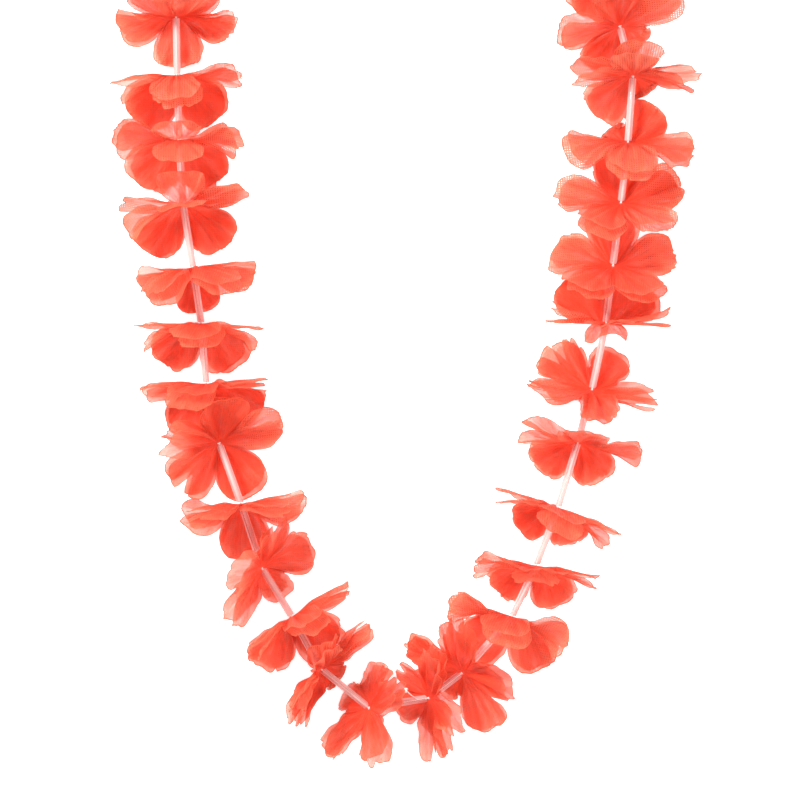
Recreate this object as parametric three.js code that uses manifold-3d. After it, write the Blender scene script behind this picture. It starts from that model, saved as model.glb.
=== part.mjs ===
// A party lei of cloth flowers, laid on a table as one closed loop and seen from above.
// Thirty-six flowers, each two die-cut layers of five petals, hang on one thread,
// with a length of clear straw between each flower and the next.
// Millimetres.  X runs to the right and Y up the picture of the loop, Z up from the table.
import * as THREE from 'three';
import { mergeVertices } from 'three/addons/utils/BufferGeometryUtils.js';
import Module from 'manifold-3d';

// ---- Driving dimensions ----
const PETALS = 5; // to a layer
const PETAL_REACH = 34.5; // hub to petal tip
const PETAL_HALF_WIDTH = 12.6; // at its widest
const PETAL_WIDE_AT = 21; // reach of the widest place
const PETAL_SHOULDER_AT = 30.5; // where the side turns in to the tip
const PETAL_SHOULDER_HALF_WIDTH = 9.8;
const VALLEY_RADIUS = 11; // petals of a layer part outside this radius
const BASE_RADIUS = 8; // first fold line on a petal's middle
const CLOTH = 0.6; // thickness of a layer, far above woven cloth so that it is a sound solid
const LAYER_GAP = 0.35; // between the two layers of a flower
const LAYER_SPREAD = 1.5; // how far each layer drifts off the other by its tips
const CREASE = 1.1; // height of the pressed crease down each petal
const CURL_FROM = 4; // a curled petal starts to curl at this reach
const CURL_FULL = 20; // and is fully curled here
const TWIST_FROM = 9; // a twisted petal starts to turn about its own length at this reach

const STRAND_HEIGHT = 9.5; // thread above the table
const THREAD_RADIUS = 0.4;
const THREAD_SIDES = 6;
const THREAD_HOLE_CLEARANCE = 0.3;
const STRAW_OUTER_RADIUS = 1.8;
const STRAW_INNER_RADIUS = 1.45;
const STRAW_SIDES = 8; // even
const STRAW_SINK = 0.15; // thread pressed into the inner wall, so that the two hold together
const STRAW_DROP = STRAW_INNER_RADIUS - THREAD_RADIUS + STRAW_SINK; // straws hang on the thread
const STRAW_END_CLEARANCE = 0.35; // straw end to cloth
const HUB_COLLAR = 1.1; // the layers are joined this far outside the thread hole

const KNOT_BESIDE = 13; // the thread is tied beside this flower, counted from 0
const KNOT_RADIUS = 1.15;
const KNOT_PLACE = [-12.5, 4.5, 3]; // from that flower's hub, as are the next three
const TAIL_START = [-2.3, -0.2, 0.1]; // where the tied ends leave the thread
const TAIL_RISE = [-6, -0.3, 2.6]; // and where they turn up to the knot
const TAIL_TIP = [-7.2, 1.6, 2.4];
const TAIL_STEPS = 4;
const LUMP_OFFSET = [1.5, 0.1, -0.1]; // second turn of the knot, from the first
const LUMP_SHARE = 0.7; // of the knot's radius

const ARC_CENTRE = [-1, 191]; // middle of the half ellipse that closes the loop at the top
const ARC_HALF_WIDTH = 112;
const ARC_HEIGHT = 104;
const ARC_FLOWERS = 10;

const FRAME_SHIFT = [-2.6, -72, 0]; // puts the middle of the whole loop over the origin

const CLOTH_COLOUR = 0xf75a45;
const STRAND_COLOUR = 0xf6dcd8;

// ---- Flowers ----
// at: where the thread passes through, in the loop's own plane.
// faces: the way the front layer looks, in degrees anticlockwise from +X.
// lean: how far the face is tipped up to the sky.
// front and back: a layer's spin in degrees (0 is across to the flower's left hand as it faces away,
// 90 is straight up), then its petals anticlockwise, each as its fold towards the front in degrees
// at the tip, or as [fold, curl, size, twist].  The curl rolls the petal's two sides in, a size
// under 1 is a petal tucked short, and the twist turns the petal about its own length by its tip.
const visibleFlowers = [
  {
    at: [-112, 192], faces: -90, lean: 0,
    front: [-90, [0, 0, 0.92], [12, 0, 0.95, -20], -35, -40, [12, 0, 0.9, 20]],
    back: [-86, [0, 0, 0.9], [6, 0, 0.92, -20], -50, -55, [6, 0, 0.88, 20]],
  },
  {
    at: [-111.5, 162], faces: -87, lean: 0,
    front: [86, 76, [36, 0, 1, 32], 0, 0, [8, 0, 1, -20]],
    back: [90, 58, [8, 0, 1, 5], 0, 0, [0, 0, 1, -15]],
  },
  {
    at: [-110.5, 130], faces: -90, lean: 5,
    front: [88, 58, [10, 0, 1, 45], 0, 0, [14, 0, 1, -40]],
    back: [92, -15, [0, 0, 1, 30], 0, 0, [0, 0, 1, -25]],
  },
  {
    at: [-108.5, 97.5], faces: -80, lean: 10,
    front: [86, 25, [38, 0, 1, 32], 0, 0, [4, 0, 1, -12]],
    back: [82, [-35, 40], -5, 0, 0, -5],
  },
  {
    at: [-103.5, 66], faces: -81, lean: 0,
    front: [-90, [0, 0, 0.78], 18, 55, 60, [10, 0, 0.88, 15]],
    back: [-86, [0, 0, 0.75], 8, 42, 38, [2, 50, 0.9]],
  },
  {
    at: [-99.5, 38], faces: -90, lean: 0,
    front: [86, 52, [36, 0, 1, 32], [0, 0, 0.95], [0, 0, 0.95], [36, 0, 1, -32]],
    back: [90, 36, [4, 0, 1, 5], [0, 0, 0.93], [0, 0, 0.93], [4, 0, 1, -5]],
  },
  {
    at: [-97, 8], faces: -90, lean: 0,
    front: [106, 38, [22, 0, 1, 18], 0, 0, -5],
    back: [102, 18, [5, 0, 1, 4], 0, 0, -10],
  },
  {
    at: [-90.5, -21.5], faces: -70, lean: 34,
    front: [68, -10, 20, 0, 0, [0, 40]],
    back: [64, -14, [0, 50], 0, 0, [-5, 40]],
  },
  {
    at: [-79.5, -52], faces: -84, lean: 0,
    front: [-88, 0, [16, 0, 1, -20], 15, 20, [18, 0, 0.92, 12]],
    back: [-92, [0, 0, 0.95], [4, 0, 1, -10], 5, 8, [6, 60, 0.9]],
  },
  {
    at: [-69, -84], faces: -32, lean: 25,
    front: [35, [8, 0, 0.92], 35, [20, 40], [0, 70, 0.5], [0, 0, 0.8]],
    back: [31, [0, 0, 0.92], 15, 5, [0, 80, 0.4], [0, 0, 0.75]],
  },
  {
    at: [-54, -108.5], faces: -58, lean: 0,
    front: [70, 38, [22, 0, 1, 18], 0, 0, 10],
    back: [74, 20, [5, 0, 1, 5], 0, 0, 0],
  },
  {
    at: [-39.5, -134.5], faces: -45, lean: 15,
    front: [66, [0, 50], 45, [5, 40], [0, 0, 0.2], [10, 50]],
    back: [62, [-5, 50], 25, 0, [0, 0, 0.2], [0, 70]],
  },
  {
    at: [-15.5, -154], faces: 150, lean: 38,
    front: [-14, [0, 50], 5, 45, [0, 0, 0.6], [0, 0, 0.3]],
    back: [-18, 0, -5, 30, [0, 0, 0.5], [0, 0, 0.2]],
  },
  {
    at: [14.5, -149], faces: 195, lean: 30,
    front: [-10, [0, 50], 20, 15, [60, 0, 0.6], [0, 0, 0.5]],
    back: [-6, [0, 80], 5, 0, [45, 0, 0.55], [0, 60, 0.4]],
  },
  {
    at: [31, -136.5], faces: 222, lean: 35,
    front: [-12, 0, 10, -5, 0, [0, 0, 0.3]],
    back: [-16, 0, 0, -15, 0, [0, 0, 0.2]],
  },
  {
    at: [56, -108.5], faces: -108, lean: 5,
    front: [96, 60, [20, 0, 1, 60], 0, 0, [20, 0, 1, -65]],
    back: [100, 40, [8, 0, 1, 45], 0, 0, [2, 0, 1, -45]],
  },
  {
    at: [68, -83], faces: -100, lean: 0,
    front: [90, 25, [22, 0, 1, 40], [5, 0, 0.75], [5, 0, 0.8], [12, 0, 1, -15]],
    back: [86, 5, [8, 0, 1, 25], [0, 0, 0.72], [0, 0, 0.76], 0],
  },
  {
    at: [79, -54], faces: -107, lean: 0,
    front: [83, 40, [15, 0, 1, 12], [0, 0, 0.72], [0, 0, 0.65], [38, 0, 1, -40]],
    back: [87, 15, 0, [0, 0, 0.68], [0, 0, 0.6], [10, 0, 1, -15]],
  },
  {
    at: [89, -21], faces: -98, lean: 5,
    front: [88, -16, [0, 0, 1, 20], [0, 0, 0.8], [0, 0, 0.78], [2, 0, 1, -30]],
    back: [84, [-19, 0, 0.8], [-30, 50, 0.9], [0, 0, 0.75], [0, 0, 0.72], [-3, 0, 1, -25]],
  },
  {
    at: [96, 5], faces: 82, lean: 26,
    front: [-39, 0, 14, 0, [0, 30], [0, 0, 0.7]],
    back: [-43, 0, 9, -5, -5, [0, 0, 0.6]],
  },
  {
    at: [103, 38], faces: 88, lean: 0,
    front: [90, -10, [20, 0, 1, 15], 0, 0, [36, 0, 1, -35]],
    back: [86, [-25, 60], 0, 0, 0, [5, 0, 1, -5]],
  },
  {
    at: [106.5, 67], faces: 85, lean: 32,
    front: [-90, 0, [5, 0, 1, -10], 0, 0, [5, 0, 1, 10]],
    back: [-86, 0, [0, 0, 1, -10], -12, -12, [0, 0, 1, 10]],
  },
  {
    at: [110.5, 98.5], faces: 86, lean: 30,
    front: [-84, 0, 5, 0, 0, 5],
    back: [-80, 0, 0, -12, -12, 0],
  },
  {
    at: [114, 128.5], faces: 88, lean: 12,
    front: [95, -38, [-8, 0, 1, 40], [0, 0, 0.75], [0, 0, 0.15], [-12, 0, 1, -45]],
    back: [91, -52, [-15, 0, 1, 40], [0, 0, 0.75], [0, 0, 0.15], [-20, 0, 1, -45]],
  },
  {
    at: [116.5, 162], faces: -92, lean: 20,
    front: [90, 10, 25, [0, 0, 0.8], [0, 0, 0.15], 40],
    back: [86, -10, 0, [0, 0, 0.8], [0, 0, 0.15], 10],
  },
  {
    at: [110, 187], faces: -78, lean: 28,
    front: [90, -10, [10, 50], [0, 0, 0.8], [0, 0, 0.3], 0],
    back: [94, -20, 0, [0, 0, 0.8], [0, 0, 0.3], -10],
  },
];

// The flowers past the picture's top edge stand on a half ellipse and repeat these ways of lying.
const arcPoses = [
  { lean: 10, front: [90, 40, [15, 0, 1, 30], 0, 0, 10], back: [86, 10, [0, 0, 1, 30], 0, 0, 0] },
  { lean: 0, front: [-90, 0, 15, 45, 35, 20], back: [-94, 0, 5, 20, 15, 5] },
  { lean: 15, front: [84, 20, 5, 0, 0, [15, 0, 1, -30]], back: [88, -10, 0, 0, 0, [0, 0, 1, -30]] },
  { lean: 10, front: [-84, 0, 10, -5, 20, 5], back: [-80, 0, 0, -15, 0, 0] },
];

function arcFlower(index) {
  const turn = (Math.PI * (index + 1)) / (ARC_FLOWERS + 1);
  const [across, up] = [ARC_HALF_WIDTH * Math.cos(turn), ARC_HEIGHT * Math.sin(turn)];
  const [runX, runY] = [-ARC_HALF_WIDTH * Math.sin(turn), ARC_HEIGHT * Math.cos(turn)];
  const heading = THREE.MathUtils.radToDeg(Math.atan2(runY, runX));
  const goingUp = index < ARC_FLOWERS / 2;
  return {
    at: [ARC_CENTRE[0] + across, ARC_CENTRE[1] + up],
    faces: goingUp ? heading + 180 : heading,
    ...arcPoses[(index + 2) % arcPoses.length],
  };
}

const arcFlowers = Array.from({ length: ARC_FLOWERS }, (_, index) => arcFlower(index));
const flowers = [...visibleFlowers, ...arcFlowers];

// ---- One flower ----
const LAYER_OFFSET = (CLOTH + LAYER_GAP) / 2; // middle of a layer from the middle of the flower
const REST_HEIGHT = LAYER_OFFSET + CLOTH / 2; // middle of the flower where its petals lie on the table
const rad = THREE.MathUtils.degToRad;
const smooth = (value, from, to) => THREE.MathUtils.smoothstep(value, from, to);

// Where a point of a petal lies in the flower's flat plane: across, up and forward of the hub.
// reach runs out along the petal, side across it, and lift stands off its middle surface.
function petalPoint(petal, layerSign, reach, side, lift) {
  const fold = rad(petal.fold);
  const turn = (fold * reach) / PETAL_REACH;
  const straight = Math.abs(fold) < 1e-4;
  const out = straight ? reach : (PETAL_REACH / fold) * Math.sin(turn);
  const forward = straight ? 0 : (PETAL_REACH / fold) * (1 - Math.cos(turn));
  const curl = (rad(petal.curl) * smooth(reach, CURL_FROM, CURL_FULL) * side) / PETAL_HALF_WIDTH;
  const flat = Math.abs(curl) < 1e-4;
  const curlRadius = flat ? 0 : side / curl;
  const rolledAcross = (flat ? side : curlRadius * Math.sin(curl)) - layerSign * lift * Math.sin(curl);
  const rolledUp = (flat ? 0 : layerSign * curlRadius * (1 - Math.cos(curl))) + lift * Math.cos(curl);
  const twist = rad(petal.twist) * smooth(reach, TWIST_FROM, PETAL_REACH);
  const across = rolledAcross * Math.cos(twist) - rolledUp * Math.sin(twist);
  const raised = rolledAcross * Math.sin(twist) + rolledUp * Math.cos(twist);
  const axial = out - raised * Math.sin(turn);
  const heading = rad(petal.heading);
  return {
    across: axial * Math.cos(heading) - across * Math.sin(heading),
    up: axial * Math.sin(heading) + across * Math.cos(heading),
    forward: forward + raised * Math.cos(turn),
  };
}

// The radius on which the lower half of a flower rolls down to the table.
function bendRadiusOf(lean) {
  return (STRAND_HEIGHT - REST_HEIGHT) / (1 - Math.sin(rad(lean)));
}

// Lays the flower's plane into the room.  Above the hub it stays flat and leans back;
// below the hub it rolls forward on a round bend and goes on flat along the table.
function settle(lean, lowest, point) {
  const tip = rad(lean);
  if (point.up >= 0) {
    return new THREE.Vector3(
      point.forward * Math.cos(tip) - point.up * Math.sin(tip),
      point.across,
      point.forward * Math.sin(tip) + point.up * Math.cos(tip),
    );
  }
  const bendRadius = bendRadiusOf(lean);
  const turned = Math.min(tip - point.up / bendRadius, Math.PI / 2);
  const pastBend = -point.up - (turned - tip) * bendRadius;
  const bendAhead = bendRadius * (Math.cos(tip) - Math.cos(turned));
  const bendDrop = bendRadius * (Math.sin(turned) - Math.sin(tip));
  const ahead = bendAhead + pastBend + point.forward * Math.cos(turned);
  const height = point.forward * Math.sin(turned) - bendDrop;
  return new THREE.Vector3(ahead, point.across, Math.max(height, lowest - STRAND_HEIGHT));
}

function readLayer([spin, ...petals]) {
  return petals.map((entry, index) => {
    const [fold, curl = 0, size = 1, twist = 0] = Array.isArray(entry) ? entry : [entry];
    return { heading: spin + (360 / PETALS) * index, fold, curl, size, twist };
  });
}

// The hole for the thread grows with the angle at which the thread goes through the cloth.
function holeRadius(tilt) {
  return REST_HEIGHT * Math.tan(tilt) + THREAD_RADIUS / Math.cos(tilt) + THREAD_HOLE_CLEARANCE;
}

function flowerGeometry(flower, tilt) {
  const positions = [];
  const triangles = [];
  const add = (vector) => positions.push(vector.x, vector.y, vector.z) / 3 - 1;
  const face = (flip, a, b, c) => triangles.push(...(flip ? [a, c, b] : [a, b, c]));
  const hole = holeRadius(tilt);
  const ringCount = 2 * PETALS;
  const ringStep = 360 / ringCount;
  const ringPoint = (degrees, radius, forward) => {
    const [across, up] = [radius * Math.cos(rad(degrees)), radius * Math.sin(rad(degrees))];
    return add(settle(flower.lean, 0, { across, up, forward }));
  };

  const layers = { front: readLayer(flower.front), back: readLayer(flower.back) };
  const spins = { front: flower.front[0], back: flower.back[0] };
  const shift = Math.round((spins.back - spins.front) / ringStep);
  const wrap = (index) => ((index % ringCount) + ringCount) % ringCount;
  const joinRing = Array.from({ length: ringCount }, (_, index) => {
    const own = spins.front + ringStep * index;
    const other = spins.back + ringStep * (index - shift);
    return ringPoint((own + other) / 2, hole + HUB_COLLAR, 0);
  });
  const holeRings = {};
  for (const name of ['front', 'back']) {
    const sign = name === 'front' ? 1 : -1;
    holeRings[name] = Array.from({ length: ringCount }, (_, index) =>
      ringPoint(spins[name] + ringStep * index, hole, sign * REST_HEIGHT));
  }

  for (const name of ['front', 'back']) {
    const sign = name === 'front' ? 1 : -1;
    const petals = layers[name];
    const surfaces = [sign, -sign].map((facing) => {
      const outward = facing === sign;
      const offset = sign * LAYER_OFFSET + (facing * CLOTH) / 2;
      const lowest = (name === 'back' ? 0 : CLOTH + LAYER_GAP) + (facing > 0 ? CLOTH : 0);
      const place = (petal, reach, side, crease) => {
        const spread = (LAYER_SPREAD * reach) / PETAL_REACH;
        const lift = offset + sign * (spread + crease);
        const free = reach > VALLEY_RADIUS;
        const grown = free ? VALLEY_RADIUS + (reach - VALLEY_RADIUS) * petal.size : reach;
        const width = free ? (side * (1 + petal.size)) / 2 : side;
        return settle(flower.lean, lowest, petalPoint(petal, sign, grown, width, lift));
      };
      const valleyReach = VALLEY_RADIUS * Math.cos(Math.PI / PETALS);
      const valleySide = VALLEY_RADIUS * Math.sin(Math.PI / PETALS);
      const rows = petals.map((petal, index) => {
        const next = petals[(index + 1) % PETALS];
        const ownValley = place(petal, valleyReach, valleySide, 0);
        const nextValley = place(next, valleyReach, -valleySide, 0);
        return {
          valley: add(ownValley.add(nextValley).multiplyScalar(0.5)),
          base: add(place(petal, BASE_RADIUS, 0, CREASE / 2)),
          before: add(place(petal, PETAL_WIDE_AT, -PETAL_HALF_WIDTH, 0)),
          middle: add(place(petal, PETAL_WIDE_AT, 0, CREASE)),
          after: add(place(petal, PETAL_WIDE_AT, PETAL_HALF_WIDTH, 0)),
          beforeTip: add(place(petal, PETAL_SHOULDER_AT, -PETAL_SHOULDER_HALF_WIDTH, CREASE / 2)),
          tip: add(place(petal, PETAL_REACH, 0, 0)),
          afterTip: add(place(petal, PETAL_SHOULDER_AT, PETAL_SHOULDER_HALF_WIDTH, CREASE / 2)),
        };
      });
      const ring = (index) => {
        if (outward) return holeRings[name][wrap(index)];
        return joinRing[wrap(name === 'front' ? index : index + shift)];
      };
      const flip = facing < 0;
      rows.forEach((row, index) => {
        const before = rows[(index + PETALS - 1) % PETALS].valley;
        const [inBefore, inMiddle, inAfter] = [ring(2 * index - 1), ring(2 * index), ring(2 * index + 1)];
        face(flip, inBefore, before, row.base);
        face(flip, inBefore, row.base, inMiddle);
        face(flip, inMiddle, row.base, row.valley);
        face(flip, inMiddle, row.valley, inAfter);
        face(flip, before, row.before, row.middle);
        face(flip, before, row.middle, row.base);
        face(flip, row.base, row.middle, row.after);
        face(flip, row.base, row.after, row.valley);
        face(flip, row.before, row.beforeTip, row.tip);
        face(flip, row.before, row.tip, row.middle);
        face(flip, row.middle, row.tip, row.afterTip);
        face(flip, row.middle, row.afterTip, row.after);
      });
      return { facing, rows };
    });
    const top = surfaces.find((surface) => surface.facing > 0).rows;
    const under = surfaces.find((surface) => surface.facing < 0).rows;
    top.forEach((row, index) => {
      const past = (index + PETALS - 1) % PETALS;
      const outline = ['before', 'beforeTip', 'tip', 'afterTip', 'after', 'valley'];
      let [upperFrom, lowerFrom] = [top[past].valley, under[past].valley];
      for (const place of outline) {
        const [upperTo, lowerTo] = [row[place], under[index][place]];
        face(false, lowerFrom, lowerTo, upperTo);
        face(false, lowerFrom, upperTo, upperFrom);
        [upperFrom, lowerFrom] = [upperTo, lowerTo];
      }
    });
  }

  for (let index = 0; index < ringCount; index += 1) {
    const [a, b] = [index, wrap(index + 1)];
    const [c, d] = [wrap(index - shift), wrap(index + 1 - shift)];
    face(false, holeRings.back[c], holeRings.front[a], holeRings.front[b]);
    face(false, holeRings.back[c], holeRings.front[b], holeRings.back[d]);
  }

  const geometry = new THREE.BufferGeometry();
  geometry.setAttribute('position', new THREE.Float32BufferAttribute(positions, 3));
  geometry.setIndex(triangles);
  geometry.computeVertexNormals();
  return geometry;
}

// ---- Thread, straws and knot ----
const wasm = await Module();
wasm.setup();

function toSolid(geometry) {
  const bare = geometry.clone();
  bare.deleteAttribute('normal');
  bare.deleteAttribute('uv');
  const merged = mergeVertices(bare, 1e-4);
  return new wasm.Manifold(new wasm.Mesh({
    numProp: 3,
    vertProperties: new Float32Array(merged.attributes.position.array),
    triVerts: new Uint32Array(merged.index.array),
  }));
}

function toGeometry(solid) {
  const mesh = solid.getMesh();
  const geometry = new THREE.BufferGeometry();
  geometry.setAttribute('position', new THREE.BufferAttribute(new Float32Array(mesh.vertProperties), 3));
  geometry.setIndex(new THREE.BufferAttribute(new Uint32Array(mesh.triVerts), 1));
  geometry.computeVertexNormals();
  return geometry;
}

const hubs = flowers.map((flower) => new THREE.Vector3(...flower.at, STRAND_HEIGHT));
const hubAfter = (index) => hubs[(index + 1) % hubs.length];
const hubBefore = (index) => hubs[(index + hubs.length - 1) % hubs.length];

// The way the flower faces, tipped up by its lean.
function facing(flower) {
  const [turn, tip] = [rad(flower.faces), rad(flower.lean)];
  return new THREE.Vector3(Math.cos(turn) * Math.cos(tip), Math.sin(turn) * Math.cos(tip), Math.sin(tip));
}

// The angle between the thread, on its way to another hub, and the flower's axis.
function tiltTowards(index, other) {
  const run = other.clone().sub(hubs[index]).normalize();
  return Math.acos(Math.min(1, Math.abs(run.dot(facing(flowers[index])))));
}

function tiltOf(index) {
  return Math.max(tiltTowards(index, hubBefore(index)), tiltTowards(index, hubAfter(index)));
}

// How far from the hub a straw has to stop to clear the cloth that lies across its end.
// The cloth slopes under the straw on its front side and leans over it on its back side.
function strawStandOff(index, other) {
  const { faces, lean } = flowers[index];
  const run = other.clone().sub(hubs[index]).normalize();
  const turn = rad(faces);
  const ahead = run.x * Math.cos(turn) + run.y * Math.sin(turn);
  const aside = Math.sqrt(1 - ahead ** 2);
  const bendRadius = bendRadiusOf(lean);
  const valleyDrop = VALLEY_RADIUS * Math.cos(Math.PI / PETALS);
  const turned = rad(lean) + valleyDrop / bendRadius;
  const bendAhead = Math.cos(rad(lean)) - Math.cos(turned);
  const bendDrop = Math.sin(turned) - Math.sin(rad(lean));
  const slope = ahead > 0 ? bendAhead / bendDrop : Math.tan(rad(lean));
  const reach = STRAW_OUTER_RADIUS + (ahead > 0 ? STRAW_DROP : -STRAW_DROP);
  const proud = REST_HEIGHT + reach * (LAYER_SPREAD / PETAL_REACH + CREASE / (2 * BASE_RADIUS));
  const cover = reach * slope + proud * Math.hypot(1, slope) + STRAW_OUTER_RADIUS * aside;
  return (cover + STRAW_END_CLEARANCE) / Math.abs(ahead);
}

// The thread is one closed tube with a mitred corner at each hub.
function threadGeometry() {
  const positions = [];
  const triangles = [];
  hubs.forEach((hub, index) => {
    const arriving = hub.clone().sub(hubBefore(index)).normalize();
    const leaving = hubAfter(index).clone().sub(hub).normalize();
    const along = arriving.clone().add(leaving).normalize();
    const out = new THREE.Vector3(along.y, -along.x, 0).multiplyScalar(1 / along.dot(leaving));
    for (let side = 0; side < THREAD_SIDES; side += 1) {
      const turn = (2 * Math.PI * side) / THREAD_SIDES;
      const point = hub.clone().addScaledVector(out, THREAD_RADIUS * Math.cos(turn));
      positions.push(point.x, point.y, point.z + THREAD_RADIUS * Math.sin(turn));
    }
    const [here, there] = [index * THREAD_SIDES, ((index + 1) % hubs.length) * THREAD_SIDES];
    for (let side = 0; side < THREAD_SIDES; side += 1) {
      const next = (side + 1) % THREAD_SIDES;
      triangles.push(here + side, there + side, there + next);
      triangles.push(here + side, there + next, here + next);
    }
  });
  const geometry = new THREE.BufferGeometry();
  geometry.setAttribute('position', new THREE.Float32BufferAttribute(positions, 3));
  geometry.setIndex(triangles);
  return geometry;
}

function strawGeometry(index) {
  const next = (index + 1) % hubs.length;
  const run = hubs[next].clone().sub(hubs[index]);
  const spare = { start: strawStandOff(index, hubs[next]), end: strawStandOff(next, hubs[index]) };
  const section = new THREE.Shape().absarc(0, 0, STRAW_OUTER_RADIUS, 0, 2 * Math.PI, false);
  section.holes.push(new THREE.Path().absarc(0, 0, STRAW_INNER_RADIUS, 0, 2 * Math.PI, true));
  const straw = new THREE.ExtrudeGeometry(section, {
    depth: run.length() - spare.start - spare.end,
    steps: 1,
    bevelEnabled: false,
    curveSegments: STRAW_SIDES / 2,
  });
  const along = run.clone().normalize();
  straw.applyQuaternion(new THREE.Quaternion().setFromUnitVectors(new THREE.Vector3(0, 0, 1), along));
  const start = hubs[index].clone().addScaledVector(along, spare.start);
  return straw.translate(start.x, start.y, start.z - STRAW_DROP);
}

// The two ends of the thread leave it beside a straw's end, are knotted and stop in a short tail.
function knotGeometries() {
  const hub = hubs[KNOT_BESIDE];
  const place = ([x, y, z]) => hub.clone().add(new THREE.Vector3(x, y, z));
  const knot = place(KNOT_PLACE);
  const lump = new THREE.Vector3(...LUMP_OFFSET).add(knot);
  const section = new THREE.Shape().absarc(0, 0, THREAD_RADIUS, 0, 2 * Math.PI, false);
  const sweep = (points) => new THREE.ExtrudeGeometry(section, {
    steps: TAIL_STEPS,
    extrudePath: new THREE.CatmullRomCurve3(points),
    curveSegments: THREAD_SIDES / 2,
  });
  const round = new THREE.IcosahedronGeometry(KNOT_RADIUS, 1).translate(...knot);
  const second = new THREE.IcosahedronGeometry(KNOT_RADIUS * LUMP_SHARE, 0).translate(...lump);
  const tied = sweep([place(TAIL_START), place(TAIL_RISE), knot]);
  const tail = sweep([lump, place(TAIL_TIP)]);
  return [round, second, tied, tail];
}

function strandGeometry() {
  let solid = toSolid(threadGeometry());
  const straws = hubs.map((_, index) => strawGeometry(index));
  for (const piece of [...straws, ...knotGeometries()]) solid = solid.add(toSolid(piece));
  return toGeometry(solid);
}

// ---- The whole lei ----
const lei = new THREE.Group();
lei.position.set(...FRAME_SHIFT);

function clothFinish() {
  const finish = new THREE.MeshStandardMaterial({ color: CLOTH_COLOUR, roughness: 0.75 });
  finish.side = THREE.DoubleSide;
  return finish;
}

flowers.forEach((flower, index) => {
  const mesh = new THREE.Mesh(flowerGeometry(flower, tiltOf(index)), clothFinish());
  mesh.name = `flower_${String(index + 1).padStart(2, '0')}`;
  mesh.position.copy(hubs[index]);
  mesh.rotation.z = rad(flower.faces);
  lei.add(mesh);
});

const strandFinish = new THREE.MeshStandardMaterial({ color: STRAND_COLOUR, roughness: 0.2 });
const strand = new THREE.Mesh(strandGeometry(), strandFinish);
strand.name = 'strung_straws_and_thread';
lei.add(strand);

export default lei;
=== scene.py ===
"""A party lei of cloth flowers laid flat as a closed loop, dressed for rendering.

Every flower is two layers of thin woven polyester, cut as five petals and pressed with radial
creases.  The layers are strung on one white thread with a length of clear straw between each
flower and the next.
"""
import math

import bpy
import numpy as np
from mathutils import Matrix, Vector


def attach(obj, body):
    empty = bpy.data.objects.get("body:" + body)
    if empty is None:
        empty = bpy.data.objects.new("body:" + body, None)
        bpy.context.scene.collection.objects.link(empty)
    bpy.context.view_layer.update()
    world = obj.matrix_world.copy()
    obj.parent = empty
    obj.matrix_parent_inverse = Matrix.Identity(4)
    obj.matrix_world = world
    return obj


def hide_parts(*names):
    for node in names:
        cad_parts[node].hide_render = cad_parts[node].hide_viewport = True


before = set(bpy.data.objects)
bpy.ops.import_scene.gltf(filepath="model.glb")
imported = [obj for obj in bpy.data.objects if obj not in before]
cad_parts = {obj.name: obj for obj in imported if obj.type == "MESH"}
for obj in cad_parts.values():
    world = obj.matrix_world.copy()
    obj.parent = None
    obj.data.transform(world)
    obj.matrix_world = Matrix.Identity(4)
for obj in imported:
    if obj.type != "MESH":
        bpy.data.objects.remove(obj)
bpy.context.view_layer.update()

bl_info = {
    "name": "Flower lei",
    "version": (1, 0, 0),
    "blender": (4, 5, 0),
    "location": "3D View > Sidebar > Lei",
    "description": "Builds a cloth flower lei, its thread and straws, and a plain studio",
    "category": "Add Mesh",
}

MM = 0.001

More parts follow.
